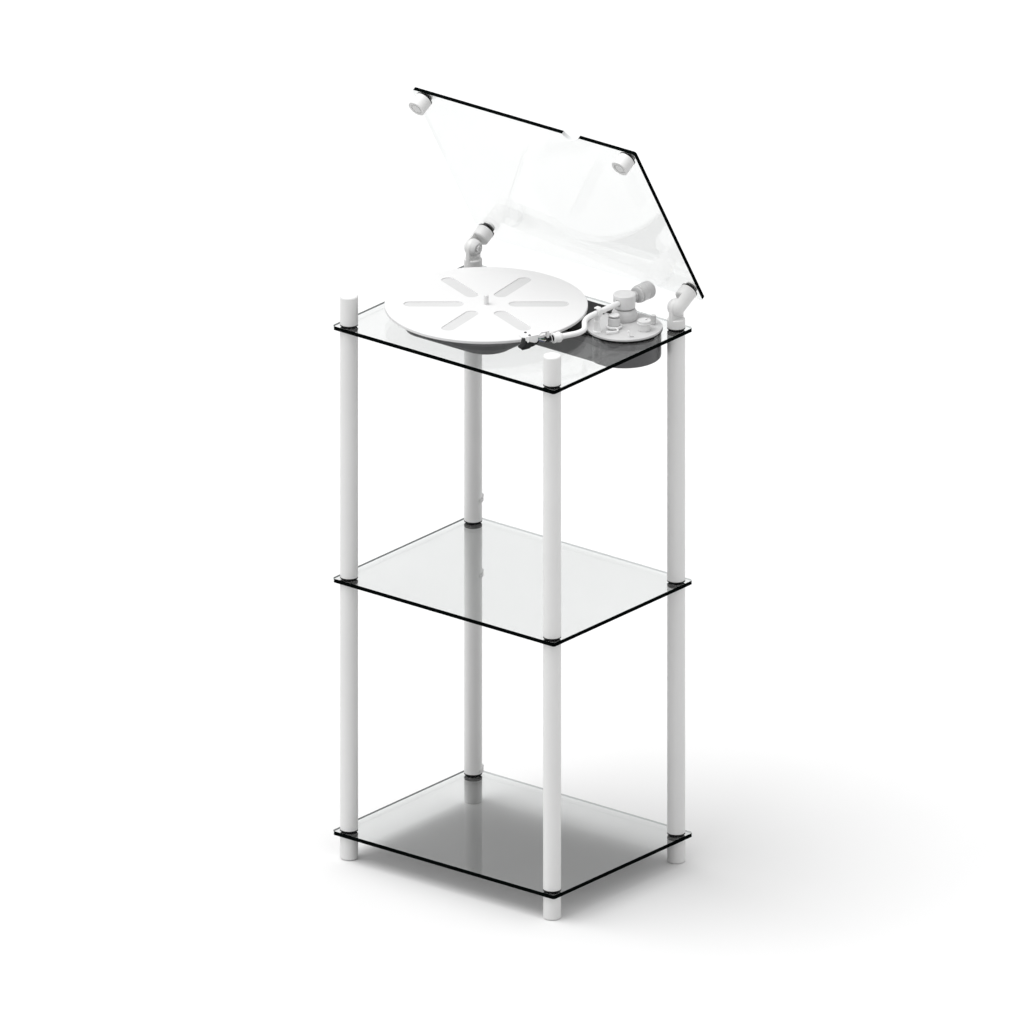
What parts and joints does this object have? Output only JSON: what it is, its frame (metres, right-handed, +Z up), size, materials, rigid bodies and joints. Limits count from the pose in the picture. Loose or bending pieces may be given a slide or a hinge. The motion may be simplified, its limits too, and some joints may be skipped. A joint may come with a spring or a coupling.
{
  "type": "glass record player stand",
  "caption": "Free-standing glass shelf stand on round white posts, with a belt-drive record player let into the top shelf and a friction-hinged glass lid.",
  "frame": {"origin": "on the floor, under the centre of the whole object's bounding box with the lid standing open", "axes": "+Z up along the posts, +Y to the rear where the lid is hinged, +X to the right seen from the front"},
  "size_m": [0.42, 0.3554, 1.1635],
  "materials": {
    "stand_white": "satin powder coat",
    "black_rubber": "matt",
    "steel": "plain zinc",
    "shelf_glass": "polished, dark ground edge",
    "white_plastic": "fine matt",
    "case_grey": "satin",
    "deck_black": "satin",
    "black_plastic": "fine matt",
    "board_green": "solder mask",
    "platter_white": "satin",
    "sub_white": "moulded",
    "brass": "turned",
    "belt_rubber": "ground rubber",
    "arm_white": "satin",
    "lead_set": "coloured sleeves"
  },
  "bodies": {
    "stand": {"foot_front_left": "stand_white", "lower_post_front_left": "stand_white", "upper_post_front_left": "stand_white", "foot_front_right": "stand_white", "lower_post_front_right": "stand_white", "upper_post_front_right": "stand_white", "foot_rear_left": "stand_white", "lower_post_rear_left": "stand_white", "upper_post_rear_left": "stand_white", "foot_rear_right": "stand_white", "lower_post_rear_right": "stand_white", "upper_post_rear_right": "stand_white", "cap_front_left": "stand_white", "cap_front_right": "stand_white", "hinge_base_left": "stand_white", "hinge_base_right": "stand_white", "post_inserts": "steel", "shelf_studs": "steel", "shelf_washers": "black_rubber", "shelf_bottom": "shelf_glass", "shelf_middle": "shelf_glass", "shelf_top": "shelf_glass", "cable_clips": "white_plastic", "case_shell": "case_grey", "case_cover": "case_grey", "deck_plate": "deck_black", "control_board": "board_green", "power_inlet": "black_plastic", "signal_sockets": "brass", "bearing_housing": "brass", "drive_motor": "steel", "arm_base": "white_plastic", "arm_tower": "white_plastic", "cue_pot": "white_plastic", "arm_rest": "white_plastic", "drive_belt": "belt_rubber"},
    "lid": {"lid_glass": "shelf_glass", "lid_washers": "black_rubber", "lid_caps": "stand_white", "lid_rest_left": "stand_white", "lid_rest_right": "stand_white", "hinge_arm_left": "stand_white", "hinge_arm_right": "stand_white", "hinge_bolt_left": "white_plastic", "hinge_bolt_right": "white_plastic"},
    "turntable": {"platter": "platter_white", "sub_platter": "sub_white"},
    "pulley": {"motor_pulley": "brass"},
    "arm_swivel": {"arm_drum": "white_plastic"},
    "arm": {"arm_tube": "arm_white", "arm_plug": "black_plastic", "headshell": "arm_white", "cartridge": "black_plastic", "cartridge_leads": "lead_set"},
    "weight": {"counterweight": "arm_white"},
    "cue_lever": {"cue_lever": "white_plastic"},
    "cue_lift": {"cue_lift": "white_plastic"},
    "speed_knob": {"speed_knob": "white_plastic"},
    "side_force_knob": {"side_force_knob": "white_plastic"},
    "power_switch": {"power_switch": "white_plastic"}
  },
  "joints": [
    {"name": "lid_hinge", "type": "hinge", "parent": "stand", "child": "lid", "pos_m": [0, 0.1323, 0.8775], "axis": [1, 0, 0], "range_deg": [-20, 60]},
    {"name": "platter_spin", "type": "hinge", "parent": "stand", "child": "turntable", "pos_m": [-0.05, -0.0137, 0.865], "axis": [0, 0, -1], "continuous": true},
    {"name": "pulley_spin", "type": "hinge", "parent": "stand", "child": "pulley", "pos_m": [-0.15, -0.0137, 0.856], "axis": [0, 0, -1], "continuous": true},
    {"name": "arm_swing", "type": "hinge", "parent": "stand", "child": "arm_swivel", "pos_m": [0.1167, 0.1043, 0.87], "axis": [0, 0, -1], "range_deg": [0, 42]},
    {"name": "arm_tilt", "type": "hinge", "parent": "arm_swivel", "child": "arm", "pos_m": [0.1167, 0.1043, 0.8786], "axis": [-1, 0, 0], "range_deg": [0, 2]},
    {"name": "weight_turn", "type": "hinge", "parent": "arm", "child": "weight", "pos_m": [0.1175, 0.1363, 0.8786], "axis": [0, 1, 0], "continuous": true},
    {"name": "cue_lever_turn", "type": "hinge", "parent": "stand", "child": "cue_lever", "pos_m": [0.128, 0.0658, 0.852], "axis": [0, 0, 1], "range_deg": [0, 60]},
    {"name": "cue_raise", "type": "slide", "parent": "stand", "child": "cue_lift", "axis": [0, 0, 1], "range_m": [0, 0.003]},
    {"name": "speed_knob_turn", "type": "hinge", "parent": "stand", "child": "speed_knob", "pos_m": [0.1676, 0.0874, 0.855], "axis": [0, 0, 1], "range_deg": [-90, 90]},
    {"name": "side_force_turn", "type": "hinge", "parent": "stand", "child": "side_force_knob", "pos_m": [0.1633, 0.1142, 0.855], "axis": [0, 0, 1], "range_deg": [0, 270]},
    {"name": "power_slide", "type": "slide", "parent": "stand", "child": "power_switch", "axis": [0.7793, 0.6266, 0], "range_m": [0, 0.0055]}
  ],
  "couplings": [
    {"joint": "pulley_spin", "follows": "platter_spin", "ratio": 8.8519},
    {"joint": "cue_raise", "follows": "cue_lever_turn", "m_per_rad": 0.002865}
  ]
}
